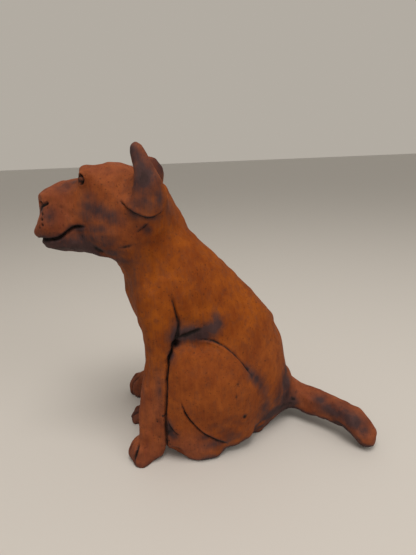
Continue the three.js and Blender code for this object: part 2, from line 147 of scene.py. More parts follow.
class Clay:
    """The points of a mesh in millimetres, with the normals and the neighbours that the tools need.

    drawn holds the places of every line that was drawn, and oxide how much of it each point has.
    """

    def __init__(self, mesh):
        self.mesh = mesh
        self.drawn = []
        self.refresh()

    def refresh(self):
        """Reads the mesh again, after its points moved or its step was halved."""
        mesh = self.mesh
        count = len(mesh.vertices)
        flat = np.empty(count * 3, np.float32)
        mesh.vertices.foreach_get("co", flat)
        self.points = flat.reshape(-1, 3).astype(float) / MM
        mesh.vertex_normals.foreach_get("vector", flat)
        self.normals = flat.reshape(-1, 3).astype(float)
        ends = np.empty(len(mesh.edges) * 2, np.int32)
        mesh.edges.foreach_get("vertices", ends)
        self.ends = ends.reshape(-1, 2)
        self.valence = np.bincount(self.ends.ravel(), minlength=count)
        if len(getattr(self, "oxide", ())) != count:
            self.oxide = np.zeros(count)

    def write(self):
        """Sets the moved points into the mesh. The soles stay on the table."""
        flat = (self.points * MM).astype(np.float32)
        flat[:, 2] = np.maximum(flat[:, 2], 0)
        self.mesh.vertices.foreach_set("co", flat.ravel())
        self.mesh.update()
        self.refresh()

    def around(self, values):
        """The mean of the neighbours' values at each point."""
        a, b = self.ends.T
        count = len(values)
        return (np.bincount(a, values[b], count) + np.bincount(b, values[a], count)) / self.valence

    def spread(self, values, rounds):
        """A value at each point, run together with its neighbours' a number of times."""
        for _ in range(rounds):
            values = 0.5 * values + 0.5 * self.around(values)
        return values

    def step(self, points, share):
        """The points, each moved by a share of the way towards the middle of its neighbours."""
        middle = np.stack([self.around(points[:, n]) for n in range(3)], axis=1)
        return points + share * (middle - points)

    def softened(self, rounds):
        """The points with the small unevenness smoothed away. Each round puts back what the form lost."""
        points = self.points
        for _ in range(rounds):
            points = self.step(self.step(points, SMOOTH_IN), -SMOOTH_OUT)
        return points

    def hollow(self, rounds):
        """How deep each point lies in a hollow, in millimetres, negative where it stands out."""
        mean = np.stack([self.spread(self.points[:, n], rounds) for n in range(3)], axis=1)
        return ((mean - self.points) * self.normals).sum(axis=1)

    def rub(self, some, amount):
        """Leaves oxide on some points, where they have less of it."""
        self.oxide[some] = np.maximum(self.oxide[some], amount)

    def soften(self, rounds):
        """Smooths the clay, but not where it sits flat on the table."""
        share = ramp(self.points[:, 2], HELD_BELOW, FREE_ABOVE)[:, None]
        self.points = self.points * (1 - share) + self.softened(rounds) * share
        self.write()

    def tree(self):
        """The skin as it stands, to look for places on."""
        faces = [tuple(f.vertices) for f in self.mesh.polygons]
        return BVHTree.FromPolygons(self.points.tolist(), faces)


# How far apart the noise of one seed is from that of the next
SEED_OFFSET = (17.3, 5.1, 9.7)


def noise_at(points, size, seed):
    """Smooth noise from -1 to 1, in lumps of a size in millimetres."""
    offset = Vector([seed * length for length in SEED_OFFSET])
    return np.array([noise.noise(Vector(p) + offset) for p in (points / size).tolist()])


def ramp(values, low, high):
    """0 where a value is under low, 1 where it is over high, and a smooth rise between them."""
    share = np.clip((values - low) / (high - low), 0, 1)
    return share * share * (3 - 2 * share)


# Clay tools

# A distance that leads out of the clay from anywhere inside it
OUT_OF_CLAY = 120
# How far apart the points of a drawn line are
LINE_STEP = 0.5
# How often the normals along a line are run together, so that the tool doesn't wobble
STEADY_ROUNDS = 12
# The share of its strength that a line starts and ends with
START_STRENGTH = 0.1
# Skin that is turned further from the tool than this is out of its reach
LEAST_FACING = -0.3
# The groove that a tool draws, in its own widths: how blunt its walls are, how far off the top of the
# burr is, how wide the burr is and how far the oxide reaches
GROOVE_BLUNTNESS = 1.2
BURR_OFF = 1.4
BURR_WIDTH = 0.6
OXIDE_REACH = 0.62
# How unevenly the hand presses the tool: by what share, over what length, and the seed of the noise
UNEVEN_SHARE = 0.25
UNEVEN_LENGTH = 7
UNEVEN_SEED = 31


def on_skin(tree, inside, towards):
    """The point of the skin that is met on the way in, along a line through a place inside the clay."""
    ahead = Vector(towards).normalized()
    hit, normal, _, _ = tree.ray_cast(Vector(inside) + ahead * OUT_OF_CLAY, -ahead)
    return hit, normal


def smooth_line(places):
    """A curve through a few places, as points a small step apart."""
    ends = [places[0] * 2 - places[1], *places, places[-1] * 2 - places[-2]]
    line = []
    for before, a, b, after in zip(ends, ends[1:], ends[2:], ends[3:]):
        count = max(2, int((b - a).length / LINE_STEP))
        for n in range(count):
            t = n / count
            straight = 2 * a + (b - before) * t
            bend = (2 * before - 5 * a + 4 * b - after) * t ** 2
            twist = (3 * a - before - 3 * b + after) * t ** 3
            line.append((straight + bend + twist) / 2)
    line.append(places[-1])
    return line


def settle_line(tree, places):
    """A smooth line through a few places near the skin, laid on it, and the skin's normals along it."""
    snapped = [tree.find_nearest(p) for p in smooth_line(places)]
    line = np.array([s[0] for s in snapped])
    normals = np.array([s[1] for s in snapped])
    for _ in range(STEADY_ROUNDS):
        normals[1:-1] = (normals[:-2] + normals[1:-1] * 2 + normals[2:]) / 4
    return line, normals / np.linalg.norm(normals, axis=1)[:, None]


def side_line(tree, side, places):
    """A line on the left side of the body (side 1) or the right (-1), through places given as (y, z)."""
    met = [on_skin(tree, body_place((0, y, z)), (side, 0, 0))[0] for y, z in places]
    return settle_line(tree, [place for place in met if place is not None])


def head_line(tree, side, places):
    """A line on the head, through places given as (inside, towards) before the head is turned."""
    return settle_line(tree, [
        on_skin(tree, head_place(mirrored(inside, side)), head_way(mirrored(towards, side)))[0]
        for inside, towards in places])


def near_line(clay, line, reach):
    """The points within reach of a line, how far off they are, and the place on it that is nearest."""
    low = line.min(axis=0) - reach
    high = line.max(axis=0) + reach
    some = np.flatnonzero(((clay.points > low) & (clay.points < high)).all(axis=1))
    gap = np.linalg.norm(clay.points[some, None] - line[None], axis=2)
    nearest = gap.argmin(axis=1)
    gap = gap[np.arange(len(some)), nearest]
    keep = gap < reach
    return some[keep], gap[keep], nearest[keep]


def incise(clay, drawn, width, depth, lip=0.0, fade=6.0, above=0.0, spread=4.0, oxide=1.0, last=1.0):
    """A line drawn in the damp clay with a tool: a groove, and the burr that it throws up on either side.

    lip is the height of the burr, and fade the length over which the line runs out at its ends.
    above lifts the clay on the line's left as one goes along it, as where one lump lies over another,
    or lowers it if negative, and spread says how far. The line grows weaker on its way, to the share
    last of its first strength.
    """
    line, normals = drawn
    clay.drawn.extend(line)
    some, gap, nearest = near_line(clay, line, max(width * 3, spread * 3 if above else 0))
    facing = (clay.normals[some] * normals[nearest]).sum(axis=1) > LEAST_FACING
    some, gap, nearest = some[facing], gap[facing], nearest[facing]
    run = np.concatenate([[0], np.cumsum(np.linalg.norm(np.diff(line, axis=0), axis=1))])
    ends = np.minimum(run, run[-1] - run)[nearest]
    strength = np.clip(ends / fade + START_STRENGTH, 0, 1)
    strength *= 1 + (last - 1) * run[nearest] / run[-1]
    strength *= 1 + UNEVEN_SHARE * noise_at(clay.points[some], UNEVEN_LENGTH, UNEVEN_SEED)
    groove = np.clip(1 - gap / width, 0, 1) ** GROOVE_BLUNTNESS
    burr = np.exp(-((gap - width * BURR_OFF) / (width * BURR_WIDTH)) ** 2)
    move = lip * burr - depth * groove
    if above:
        along = np.gradient(line, axis=0)[nearest]
        left = np.cross(normals[nearest], along)
        left /= np.linalg.norm(left, axis=1)[:, None]
        across = ((clay.points[some] - line[nearest]) * left).sum(axis=1)
        move += above * ramp(across, 0, width) * np.exp(-np.maximum(across, 0) / spread)
    clay.points[some] += normals[nearest] * (move * strength)[:, None]
    clay.rub(some, oxide * strength * np.exp(-(gap / (OXIDE_REACH * width)) ** 2))


def push(clay, place, way, radius, amount):
    """Clay pushed with a thumb from a place, by an amount that fades out over a radius."""
    gap = np.linalg.norm(clay.points - np.array(place), axis=1)
    some = np.flatnonzero(gap < radius)
    fall = (1 - (gap[some] / radius) ** 2) ** 2
    clay.points[some] += np.array(way) * (amount * fall)[:, None]


def dent(clay, centre, normal, radius, depth, oxide=0.0):
    """A round dent of a depth, or with a negative depth a bump."""
    gap = np.linalg.norm(clay.points - np.array(centre), axis=1)
    some = np.flatnonzero(gap < radius)
    some = some[(clay.normals[some] * np.array(normal)).sum(axis=1) > 0]
    fall = (1 - (gap[some] / radius) ** 2) ** 2
    clay.points[some] -= np.array(normal) * (depth * fall)[:, None]
    clay.rub(some, oxide * fall)


def scrape(clay, spacing, share, stretch, seed, most):
    """The soft flats that a rib leaves where it scrapes the clay, each about as wide as the spacing.

    Each point moves by a share of the way to the plane of its flat, and by the length most at most.
    """
    rng = np.random.default_rng(seed)
    count = int(len(clay.points) * SKIN_STEP ** 2 / spacing ** 2)
    seeds = clay.points[rng.choice(len(clay.points), count, replace=False)]
    space = KDTree(count)
    for n, place in enumerate(seeds / stretch):
        space.insert(place, n)
    space.balance()
    owner = np.array([space.find(p)[1] for p in (clay.points / stretch).tolist()])
    size = np.maximum(np.bincount(owner, minlength=count), 1)
    middle, tilt = (
        np.stack([np.bincount(owner, values[:, n], count) / size for n in range(3)], axis=1)
        for values in (clay.points, clay.normals))
    tilt /= np.linalg.norm(tilt, axis=1)[:, None] + 1e-9
    off = ((clay.points - middle[owner]) * tilt[owner]).sum(axis=1)
    facing = (clay.normals * tilt[owner]).sum(axis=1)
    move = -share * np.clip(off, -most, most) * np.clip(facing, 0, 1) ** 2
    move = clay.spread(move, 3)
    clay.points += clay.normals * move[:, None]
    clay.write()


# The dog's own forms and marks

# How much further back the right front leg stands than the left
RIGHT_LEG_BACK = 9
# The paws on the right: the place of the front one and of the hind one, across and along, and the height
FAR_PAWS = ((-32, 8, 11), (-80.5, 11, 28))
# The lumps that fingers leave: how wide they are, how high, and the seed of the noise
LUMPS = ((34, 0.9, 1), (13, 0.65, 2), (5.5, 0.2, 3))
# The height above the table from which the lumps are full
LUMPS_ABOVE = 6


def uneven(clay):
    """The slight lumps of a form that fingers pushed together, and the marks of the rib on it."""
    lift = sum(height * noise_at(clay.points, size, seed) for size, height, seed in LUMPS)
    lift *= ramp(clay.points[:, 2], HELD_BELOW, LUMPS_ABOVE)
    clay.points += clay.normals * lift[:, None]
    clay.write()
    scrape(clay, spacing=26, share=0.6, stretch=np.array([1, 1, 1.3]), seed=7, most=1.8)
    scrape(clay, spacing=11, share=0.8, stretch=np.array([1, 1, 1.7]), seed=4, most=1.2)


def leg_creases(clay, tree, side):
    """The pressed line behind a front leg, the crease of the elbow and the hollow under the chest.

    The right leg stands further back, and no foot is tucked in behind it.
    """
    behind_leg = [
        (34, 122), (30.5, 115), (28, 109), (26.4, 101), (24.6, 92), (23.2, 80), (22.2, 69), (20.8, 57),
        (19.9, 43)]
    if side > 0:
        behind_leg += [(19.4, 29), (19.5, 18), (20.5, 9), (21, 1.5)]
    else:
        behind_leg = [(y + RIGHT_LEG_BACK, z) for y, z in behind_leg]
    line = side_line(tree, side, behind_leg)
    incise(clay, line, width=2.0, depth=4.0, lip=0.3, fade=3)
    elbow = [
        (33.5, 168), (34.8, 160), (36.4, 152), (38, 145), (38.6, 139), (37, 131), (35, 125), (34, 121)]
    line = side_line(tree, side, elbow)
    incise(clay, line, width=2.0, depth=2.4, lip=0.5, fade=10, oxide=0.85)
    pit, normal = on_skin(tree, body_place((0, 34.5, 121)), (side, 0, 0))
    dent(clay, pit, normal, radius=6.0, depth=5.5, oxide=1.15)
    hollow = [(37, 127.5), (42, 128.4), (48, 130), (55, 132.2), (61, 134.8)]
    line = side_line(tree, side, hollow)
    incise(clay, line, width=2.6, depth=1.8, fade=8, above=0.9 * side, spread=7, oxide=0.75)


def thigh_creases(clay, tree, side):
    """The line round the top of the thigh. The flank above it lies a little deeper."""
    top = [
        (55, 122.5), (63.6, 121.8), (70, 119.2), (78.2, 114.3), (85, 108.4), (92, 100), (100, 87.6),
        (104, 80.5)]
    line = side_line(tree, side, top)
    incise(clay, line, width=1.5, depth=2.4, lip=0.3, fade=10, above=-1.8 * side, spread=8)


def folded_leg_creases(clay, tree):
    """The two lines of the folded hind leg, and the clay torn between it and the front leg."""
    front = [
        (33.6, 73), (34.6, 68), (36.4, 61.5), (39.2, 54), (43.8, 46), (49.6, 37.8), (56.6, 30), (63.9, 24),
        (71, 18.5), (77, 13)]
    line = side_line(tree, 1, front)
    incise(clay, line, width=1.7, depth=2.8, lip=0.2, fade=18, above=1.4)
    fold = [(21.4, 51), (23.6, 44), (27, 38), (31.5, 33)]
    line = side_line(tree, 1, fold)
    incise(clay, line, width=1.4, depth=1.4, lip=0.2, fade=5, above=1.2, oxide=0.8)
    torn = np.random.default_rng(5)
    for z in np.arange(14, 56, 2.4):
        place, normal = on_skin(tree, body_place((0, 20 + torn.uniform(-2.0, 2.4), z)), (1, 0, 0))
        dent(clay, place, normal, radius=torn.uniform(1.3, 2.3), depth=torn.uniform(0.4, 1.2), oxide=1.2)


def leg_flutes(clay, tree, side):
    """The long flats of a front leg, drawn down it with the side of a tool, and a short dark stroke."""
    back = 0 if side > 0 else RIGHT_LEG_BACK
    for y, dark in ((back + 1.5, 0.0), (back + 13.5, 0.14)):
        places = [(y + 10, 128), (y + 4, 100), (y, 70), (y - 1, 40), (y - 2, 20)]
        line = side_line(tree, side, places)
        incise(clay, line, width=6.5, depth=1.1, fade=30, oxide=dark)
    stroke = side_line(tree, side, [(back + 18.5, 86), (back + 17.2, 76), (back + 15.9, 67)])
    incise(clay, stroke, width=1.6, depth=0.5, fade=9, oxide=0.7)


def near_toes(clay, tree):
    """The lines between the toes of the left front paw."""
    outer = [
        (36.5, -5, 21.5), (39, -6.6, 19.2), (41, -7.8, 17.2), (41.7, -9, 14.6), (41.4, -10.1, 11.1),
        (41.6, -11.2, 8.2), (42, -12, 5.5), (42.5, -12.3, 2)]
    inner = [(31, -8, 21), (31, -12, 16.5), (31.3, -15.2, 12), (32, -16.5, 7)]
    hidden = [(25, -6, 23), (25, -12, 18), (24.5, -15, 11), (24.5, -15, 4)]
    for over, width in ((outer, 2.3), (inner, 1.9), (hidden, 1.9)):
        line = settle_line(tree, [body_place(p) for p in over])
        incise(clay, line, width=width, depth=2.6, lip=0.4, fade=4, oxide=1.2)


def toe_lines(clay, tree, x, y, height):
    """The two lines that part the three toes of a paw."""
    for across in (-4.2, 4.2):
        over = [
            (x + across, y - 4, height * 0.95),
            (x + across, y - 11, height * 0.75),
            (x + across * 1.05, y - 16, height * 0.42),
            (x + across * 1.1, y - 15.5, height * 0.08)]
        line = settle_line(tree, [body_place(p) for p in over])
        incise(clay, line, width=1.7, depth=2.0, lip=0.3, fade=7, oxide=0.55)


def ear_creases(clay, tree, side):
    """The cup of the ear is pressed on, and its rim stands off the neck in front and below."""
    out = (1, 0, 0)
    below_ear = [
        (5.5, 246), (7.8, 243.3), (10.8, 240.4), (14.4, 237.4), (19.2, 234.4), (24, 232.2), (29.4, 231),
        (34.5, 232.3), (38.7, 235), (41, 238)]
    base = [((0, y, z), out) for y, z in below_ear]
    line = head_line(tree, side, base)
    incise(clay, line, width=2.0, depth=1.4, fade=6, above=2.5 * side, spread=6, oxide=0.4, last=0.65)
    line = head_line(tree, side, base[1:5])
    incise(clay, line, width=1.8, depth=2.6, fade=4, last=0.5)


def jaw_creases(clay, tree, side):
    """The short line below the ear, where the jaw ends, and the soft one across the throat."""
    out = (1, 0, 0)
    behind_jaw = [(28, 227.2), (25, 224.6), (21.5, 222), (17.4, 219.4), (14.5, 218)]
    line = head_line(tree, side, [((0, y, z), out) for y, z in behind_jaw])
    incise(clay, line, width=1.3, depth=1.8, lip=0.3, fade=4, last=0.3)
    throat = [(14, 209), (8, 207.6), (0, 206)]
    line = head_line(tree, side, [((0, y, z), out) for y, z in throat])
    incise(clay, line, width=2.0, depth=1.0, fade=6, oxide=0.85)


def mouth(clay, tree, side):
    """The slit between the lips, with the upper lip hanging over it, and the dents under its corner."""
    slit = [
        (-26, 225), (-29.4, 225.1), (-35.3, 224.6), (-39, 223), (-43.3, 220.3), (-48, 217.1),
        (-51.6, 215.2), (-55.3, 214.8)]
    places = [((0, y, z), (1, 0, 0)) for y, z in slit]
    places += [((0, -56, 214.8), (across, -1, 0)) for across in (1, 0.4, 0)]
    line = head_line(tree, side, places)
    incise(clay, line, width=2.0, depth=4.4, lip=0.1, fade=16, above=1.0 * side, spread=3)
    dents = (((0, -19, 213.4), 3.4), ((0, -16, 210.8), 3.8), ((0, -14.6, 209), 2.8))
    for inside, radius in dents:
        place, normal = on_skin(tree, head_place(inside), head_way((side, 0, -0.3)))
        dent(clay, place, normal, radius=radius, depth=1.6, oxide=0.9)


def nostril(clay, tree, side):
    """A slit under the wing of the nose, with a shallow hollow below it."""
    places = [
        ((0, -50, 246.2), (0.12, -1, 0)),
        ((0, -52, 244.8), (0.6, -1, 0)),
        ((0, -54, 243.4), (1, -0.8, 0)),
        ((0, -57.5, 243.9), (1, -0.2, 0)),
        ((0, -53.6, 245.8), (1, -0.1, 0))]
    line = head_line(tree, side, places)
    incise(clay, line, width=1.9, depth=3.6, lip=0.1, fade=2, above=0.5 * side, spread=3)
    place, normal = on_skin(tree, head_place((0, -60, 241.2)), head_way((side, -0.5, 0)))
    dent(clay, place, normal, radius=6.0, depth=2.0, oxide=2.0)


def whisker_holes(clay, tree, side):
    """Holes that were pricked in the lip, one below the other."""
    holes = ((-61.8, 236.5, 2.6), (-62.2, 232.1, 2.4), (-62.2, 227.7, 2.2), (-65.4, 225.3, 1.0))
    for y, z, depth in holes:
        place, normal = on_skin(tree, head_place((0, y, z)), head_way((side, 0, 0)))
        dent(clay, place, normal, radius=1.8, depth=depth, oxide=depth * 0.7)


# The middle of the eye in the head, how far round it the clay is worked and half its length
EYE_PLACE = (12, -8.5, 263.5)
EYE_REACH = 12
EYE_HALF = 4.0
# How far the lids open from the middle: the upper and the lower one
LIDS_OPEN = (3.6, 4.3)
# How far each lid stands out
LIDS_OUT = (0.9, 0.3)
# Half the length and half the height of the eyeball, how far it bulges, and how far it is set in
BALL_HALF = (2.9, 3.0)
BALL_BULGE = 1.8
BALL_IN = 1.6
# How deep the groove is between the ball and the lids, and the fold under the lower lid
MOAT_DEPTH = 3.4
FOLD_DEPTH = 0.4
# How full the almond and the ball are, from 1 for a plain arch down to 0 for a box
FULLNESS = 0.6


def eye(clay, tree, side):
    """The eye looks ahead and a little outwards from under the brow: a ball in an almond of lids."""
    out = np.array(head_way((side * 0.52, -0.85, 0)))
    across = np.array(head_way((side * 0.85, 0.52, 0)))
    up = np.array(head_way((0, 0, 1)))
    centre, _ = on_skin(tree, head_place(mirrored(EYE_PLACE, side)), out)
    off = clay.points - np.array(centre)
    near = np.linalg.norm(off, axis=1) < EYE_REACH
    some = np.flatnonzero(near & (clay.normals @ out > -0.2))
    u = off[some] @ across
    v = off[some] @ up

    # How far inside the almond's edge each point is, and how far outside it
    almond = np.clip(1 - (u / EYE_HALF) ** 2, 0.0, 1) ** FULLNESS
    inside = np.where(v > 0, *LIDS_OPEN) * almond - np.abs(v)
    between_corners = np.abs(u) < EYE_HALF
    outside = np.where(between_corners, -inside, np.hypot(np.abs(u) - EYE_HALF, v))

    bulge = np.clip(1 - (u / BALL_HALF[0]) ** 2 - (v / BALL_HALF[1]) ** 2, 0, 1) ** FULLNESS
    ball = BALL_BULGE * bulge - BALL_IN * ramp(inside, 0, 1)
    moat = np.exp(-((inside - 0.7) / 0.9) ** 2) * (inside > -1.2) * between_corners
    lid = np.where(v > 0, *LIDS_OUT) * np.exp(-((outside - 1.4) / 1.3) ** 2) * (outside > -0.3)
    lid *= 1 - 0.7 * ramp(-u, 1.5, EYE_HALF)
    fold = np.exp(-((outside - 3.6) / 0.8) ** 2) * (v < 0) * between_corners
    clay.points[some] += out * (ball + lid - FOLD_DEPTH * fold - MOAT_DEPTH * moat)[:, None]

    # Oxide fills the groove, most at the inner corner, and dulls the ball
    ring = 1.3 * moat * (1 - 0.4 * ramp(u, -1, EYE_HALF))
    corner = 1.2 * np.exp(-((u + EYE_HALF) / 1.3) ** 2 - (v / 3) ** 2)
    clay.rub(some, np.maximum(ring, corner) + 0.5 * ramp(inside, 0, 1))


# What a thumb or a stone pressed into the flank and the thigh: the place along and up, the radius, the
# depth and the oxide that stayed in it
THUMB_MARKS = (
    (86.5, 80.5, 2.6, 0.8, 0.9),
    (84.5, 69, 3.0, 1.0, 0.9),
    (93.5, 43, 4.0, 1.4, 0.9),
    (60, 152, 9, 0.8, 0),
)
# How many pits dry crumbs tore, and how far above the table they begin
PITS = 240
PITS_ABOVE = 4
# How many crumbs roughened the shoulder, where, and how far about that place, along and up
CRUMBS = 26
SHOULDER = (49, 153)
CRUMBS_SPREAD = (7, 6)


def dimples(clay, tree):
    """Places where a thumb or a stone marked the clay, and the pits that dry crumbs tore."""
    for y, z, radius, depth, oxide in THUMB_MARKS:
        place, normal = on_skin(tree, body_place((0, y, z)), (1, 0, 0))
        dent(clay, place, normal, radius=radius, depth=depth, oxide=oxide)
    rng = np.random.default_rng(11)
    for n in rng.choice(len(clay.points), PITS, replace=False):
        if clay.points[n, 2] > PITS_ABOVE:
            pit = {"radius": rng.uniform(1.2, 2.4), "depth": rng.uniform(0.2, 0.6)}
            dent(clay, clay.points[n], clay.normals[n], oxide=0.3, **pit)
    for _ in range(CRUMBS):
        y, z = rng.normal(SHOULDER, CRUMBS_SPREAD)
        place, normal = on_skin(tree, body_place((0, y, z)), (1, 0, 0))
        dent(clay, place, normal, radius=rng.uniform(1.2, 2.6), depth=rng.uniform(-0.7, 0.5))


# How far the finer mesh reaches to either side of a line
FINE_REACH = 3.6
# Where the head has the finer mesh all over: in front of the cheeks and above the throat, and there on
# the whole muzzle and in a band at the height of the eyes and one at the height of the mouth
CHEEKS_Y = -14
MUZZLE_Y = -34
THROAT_Z = 200
EYES_Z = 264
MOUTH_Z = 222
HALF_BAND = 12


def has_fine_work(place):
    """Whether a place is on the muzzle, the mouth or the eyes, where the finest work is."""
    p = HEAD_TURN.transposed() @ (place - PAWS - HEAD_PIVOT) + HEAD_PIVOT
    in_band = min(abs(p.z - EYES_Z), abs(p.z - MOUTH_Z)) < HALF_BAND
    return p.y < CHEEKS_Y and p.z > THROAT_Z and (p.y < MUZZLE_Y or in_band)


# Stains of oxide and patches of painted shade: a place, how far it reaches across and up, and how dark it
# is.
# Each is on both sides of the dog, apart from those whose place is on its right
HEAD_PATINA_AND_SHADE = (
    ((12, -62, 212), 13, 9, 1.15),
    ((15, -52, 210), 14, 10, 1.15),
    ((18, -38, 208), 14, 10, 1.15),
    ((22, -24, 208), 14, 9, 1.05),
    ((22, -30, 216), 12, 7, 0.95),
    ((26, -19, 215), 12, 6, 0.85),
    ((28, -9, 212), 13, 8, 0.75),
    ((26, -4, 204), 12, 7, 0.65),
    ((31, -9, 222), 14, 7, 0.35),
    ((27, -20, 249), 6, 5, 0.7),
    ((26, -20, 242), 10, 7, 0.85),
    ((29, -13, 238), 13, 7, 0.9),
    ((25, -24, 235), 11, 7, 0.75),
    ((32, -5, 234), 13, 6, 0.85),
    ((34, 2, 230), 10, 5, 0.75),
    ((19, -31, 223.5), 10, 4.5, 1.15),
    ((29, -15, 223.5), 12, 5, 0.75),
    ((13, -40, 258), 10, 5, 0.6),
    ((12, -34, 262), 6, 4, 0.75),
    ((17, -55, 234), 7, 8, 0.75),
    ((9, -63.5, 240.5), 7, 4, 1.4),
    ((35, 17, 283), 8, 9, 1.1),
    ((43, 26, 262), 8, 12, 1.45),
    ((38, 18, 236), 8, 7, 0.8),
    ((42, 24, 244), 14, 11, 0.72),
    ((40, 38, 247), 6, 12, 0.9),
    ((37, 26, 222), 5, 5, 0.75),
    ((-29, 36, 274), 10, 12, 0.85),
    ((-25, 34, 266), 12, 12, 0.85),
    ((-20, 32, 279), 12, 9, 0.8),
    # These four darken the ear: stain, with painted shade on its lower, downward-facing part and a painted
    # shadow under the rim of its cup
    ((43, 26, 264), 14, 20, 1.1),
    ((41, 21, 276), 10, 12, 0.85),
    ((42, 29, 241), 12, 9, 0.65),
    ((38, 30, 231), 12, 4, 0.6),
    ((37, 35, 250), 7, 20, 0.6),
    ((38, 20, 283), 7, 6, 0.55),
    ((24, 42, 242), 10, 14, 0.6),
    ((38, 22, 224), 7, 5, 0.35),
)
BODY_PATINA_AND_SHADE = (
    ((43, 37, 130), 9, 11, 1.35),
    ((42, 48, 130), 13, 9, 1.3),
    ((44, 59, 128.5), 12, 7, 1.3),
    ((45, 67, 133), 8, 7, 1.35),
    ((44, 73, 136), 6, 7, 1.2),
    ((43.5, 72.5, 142), 4, 6, 0.95),
    ((43, 30, 112), 4, 8, 1.0),
    ((50, 99, 89), 4, 5, 0.9),
    ((50, 103, 83), 6, 6, 1.0),
    ((49, 107.5, 77), 6, 7, 1.0),
    ((47, 113, 69), 5, 9, 0.85),
    ((45, 118, 58), 6, 10, 0.65),
    ((43, 121, 42), 7, 11, 0.6),
    ((34, 131, 22), 12, 9, 0.5),
    ((34, 138, 42), 9, 17, 0.75),
    ((22, 153, 62), 6, 9, 0.9),
    ((27, 150, 50), 11, 13, 1.25),
    ((29, 149, 34), 12, 12, 1.25),
    ((26, 156, 26), 10, 9, 1.15),
    ((42, 181, 33), 9, 5, 0.95),
    ((52, 185, 28), 13, 7, 1.0),
    ((60, 189.5, 28.5), 13, 7, 1.05),
    ((68, 194, 29), 13, 7, 1.05),
    ((76, 199, 27), 11, 8, 1.05),
    ((84, 203, 23), 8, 7, 0.8),
    ((49, 23.5, 39), 4, 9, 1.3),
    ((50, 26, 33), 5, 6, 0.9),
    # The rear edge of the front leg: stain, and painted shade beside the crease behind it
    ((40, 18, 78), 5, 18, 0.6),
    ((40, 18, 52), 4, 24, 0.45),
    # The front of the chest, which faces away from the lamps: stain and painted shade
    ((24, 0, 190), 16, 28, 0.45),
    ((54, 62, 20), 14, 5, 0.75),
    ((57, 54, 28), 7, 4, 0.6),
    ((33, -12, 8), 16, 8, 0.35),
    ((-80, 4, 12), 18, 14, 0.5),
    ((-32, -4, 6), 16, 10, 0.6),
)
# The most oxide and painted shade that any point has
MOST_OXIDE_AND_SHADE = 1.6


def patina_and_shade_on(clay):
    """How dark the patches of stain and of painted shade make each point."""
    patina_and_shade = np.zeros(len(clay.points))
    for side in (1, -1):
        for patches, place_of in ((HEAD_PATINA_AND_SHADE, head_place), (BODY_PATINA_AND_SHADE, body_place)):
            for place, wide, tall, dark in patches:
                if side < 0 and place[0] < 0:
                    continue
                off = clay.points - np.array(place_of(mirrored(place, side)))
                gap = (np.hypot(off[:, 0], off[:, 1]) / wide) ** 2 + (off[:, 2] / tall) ** 2
                patina_and_shade = np.maximum(patina_and_shade, dark * np.exp(-gap))
    return patina_and_shade


def stained_and_shaded(clay):
    """Two strengths of the dark oxide, with painted shade in both: a film that stayed in the creases, and
    a thin stain about them.
    The stain also holds painted shade in the wide hollows, underneath the forms and towards the table, and
    where it is darkest it thickens the film.
    """
    height = clay.points[:, 2]
    downwards = -clay.normals[:, 2]
    # The small hollows of the tools, where oxide stays, and the wide ones between the forms, which get
    # painted shade
    fine = ramp(clay.hollow(4), 0.06, 0.4)
    broad = ramp(clay.hollow(50), 0.5, 2.6)
    # Painted shade on the faces that look down, most of it under the rump
    shade_underneath = 0.5 * ramp(downwards, 0.3, 0.9)
    rump = ramp(clay.points[:, 1], -40, -10) * ramp(-height, -60, -30)
    shade_underneath = np.maximum(shade_underneath, 0.9 * rump * ramp(downwards, 0.05, 0.5))
    blotch = 0.5 + 0.7 * noise_at(clay.points, 11, 21) + 0.35 * noise_at(clay.points, 4, 22)
    film_and_shade = np.maximum(clay.oxide, 0.9 * fine) + 0.1 * blotch
    stain_and_shade = patina_and_shade_on(clay) * (0.95 + 0.2 * blotch) + 0.3 * broad + 0.12 * blotch
    # Oxide spread out beside the lines, then painted shade: underneath the forms, and towards the table in
    # the lowest 8 mm
    stain_and_shade += 0.5 * clay.spread(clay.oxide, 6) + shade_underneath + 0.45 * ramp(-height, -8, -1)
    # Where the stain and its painted shade are darkest, they thicken the film too
    film_and_shade += 0.9 * np.maximum(stain_and_shade - 0.85, 0)
    return np.clip(film_and_shade, 0, MOST_OXIDE_AND_SHADE), np.clip(stain_and_shade, 0, MOST_OXIDE_AND_SHADE)


def reddened(clay):
    """Where the clay is redder and less ochre, from 0 to 1.

    It is reddest on the muzzle, the hind foot and the tail, and a little red on the haunch.
    """
    _, y, z = (clay.points - np.array(PAWS)).T
    muzzle = ramp(-y, 18, 48) * ramp(z, 190, 205)
    brow = 0.8 * ramp(z, 255, 272)
    head = 0.6 * ramp(z, 200, 222) * ramp(-y, -30, -8)
    front_legs = 0.8 * ramp(-z, -130, -60) * ramp(-y, -24, -17)
    hind_foot = ramp(-z, -60, -15) * ramp(-y, -75, -50)
    haunch = 0.3 * ramp(-z, -140, -90)
    tail = ramp(y, 142, 172)
    return np.maximum.reduce([muzzle, brow, head, front_legs, hind_foot, haunch, tail])


def set_attribute(mesh, name, values):
    """Gives the mesh a value at each point, for the material to read."""
    layer = mesh.attributes.new(name, "FLOAT", "POINT")
    layer.data.foreach_set("value", values.astype(np.float32))


